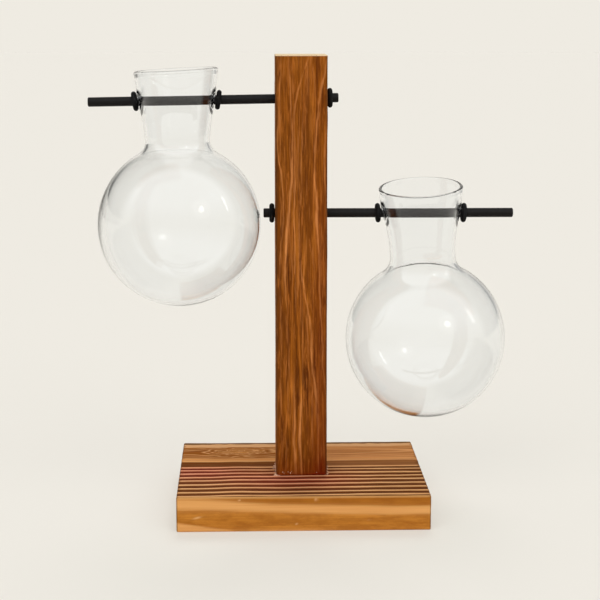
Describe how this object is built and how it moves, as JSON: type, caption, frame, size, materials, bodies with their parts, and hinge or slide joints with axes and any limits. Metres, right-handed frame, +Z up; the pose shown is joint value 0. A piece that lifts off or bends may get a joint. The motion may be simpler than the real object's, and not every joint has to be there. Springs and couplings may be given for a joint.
{
  "type": "propagation vase",
  "caption": "Wooden post on a board carries round glass bulb vases on steel rods, held by rubber rings, for rooting cuttings in water.",
  "frame": {"origin": "middle of the board's underside, on the surface that the stand rests on", "axes": "+X to the right, towards the lower vase; +Y to the back; +Z up the post"},
  "size_m": [0.2049, 0.1, 0.221],
  "materials": {
    "board_wood": "torched and brushed softwood, oiled satin",
    "post_wood": "stained softwood, satin",
    "clear_glue": "dried clear glue, glossy",
    "zinc_screw": "zinc plated",
    "black_rod": "satin black",
    "black_rubber": "matt moulded",
    "clear_glass": "clear blown, fire polished"
  },
  "bodies": {
    "stand": {"base_board": "board_wood", "post": "post_wood", "glue_bead": "clear_glue", "base_screws": "zinc_screw"},
    "upper_stop": {"upper_stop_ring": "black_rubber"},
    "upper_arm": {"upper_rod": "black_rod"},
    "upper_inner_grip": {"upper_inner_ring": "black_rubber"},
    "upper_bulb": {"upper_vase": "clear_glass"},
    "upper_outer_grip": {"upper_outer_ring": "black_rubber"},
    "lower_stop": {"lower_stop_ring": "black_rubber"},
    "lower_arm": {"lower_rod": "black_rod"},
    "lower_inner_grip": {"lower_inner_ring": "black_rubber"},
    "lower_bulb": {"lower_vase": "clear_glass"},
    "lower_outer_grip": {"lower_outer_ring": "black_rubber"}
  },
  "joints": [
    {"name": "upper_swivel", "type": "hinge", "parent": "stand", "child": "upper_stop", "pos_m": [0, -0.0015, 0.20019], "axis": [-0.9999, 0, -0.016], "continuous": true},
    {"name": "upper_rod_slide", "type": "slide", "parent": "upper_stop", "child": "upper_arm", "axis": [-0.9999, 0, -0.016], "range_m": [0, 0.032]},
    {"name": "upper_inner_ring_slide", "type": "slide", "parent": "upper_arm", "child": "upper_inner_grip", "axis": [0.9999, 0, 0.016], "range_m": [0, 0.024]},
    {"name": "upper_vase_slide", "type": "slide", "parent": "upper_arm", "child": "upper_bulb", "axis": [-0.9999, 0, -0.016], "range_m": [0, 0.066]},
    {"name": "upper_outer_ring_slide", "type": "slide", "parent": "upper_bulb", "child": "upper_outer_grip", "axis": [-0.9999, 0, -0.016], "range_m": [0, 0.03]},
    {"name": "lower_swivel", "type": "hinge", "parent": "stand", "child": "lower_stop", "pos_m": [0, -0.0015, 0.14501], "axis": [1, 0, -0.002], "continuous": true},
    {"name": "lower_rod_slide", "type": "slide", "parent": "lower_stop", "child": "lower_arm", "axis": [1, 0, -0.002], "range_m": [0, 0.032]},
    {"name": "lower_inner_ring_slide", "type": "slide", "parent": "lower_arm", "child": "lower_inner_grip", "axis": [-1, 0, 0.002], "range_m": [0, 0.022]},
    {"name": "lower_vase_slide", "type": "slide", "parent": "lower_arm", "child": "lower_bulb", "axis": [1, 0, -0.002], "range_m": [0, 0.066]},
    {"name": "lower_outer_ring_slide", "type": "slide", "parent": "lower_bulb", "child": "lower_outer_grip", "axis": [1, 0, -0.002], "range_m": [0, 0.03]}
  ]
}
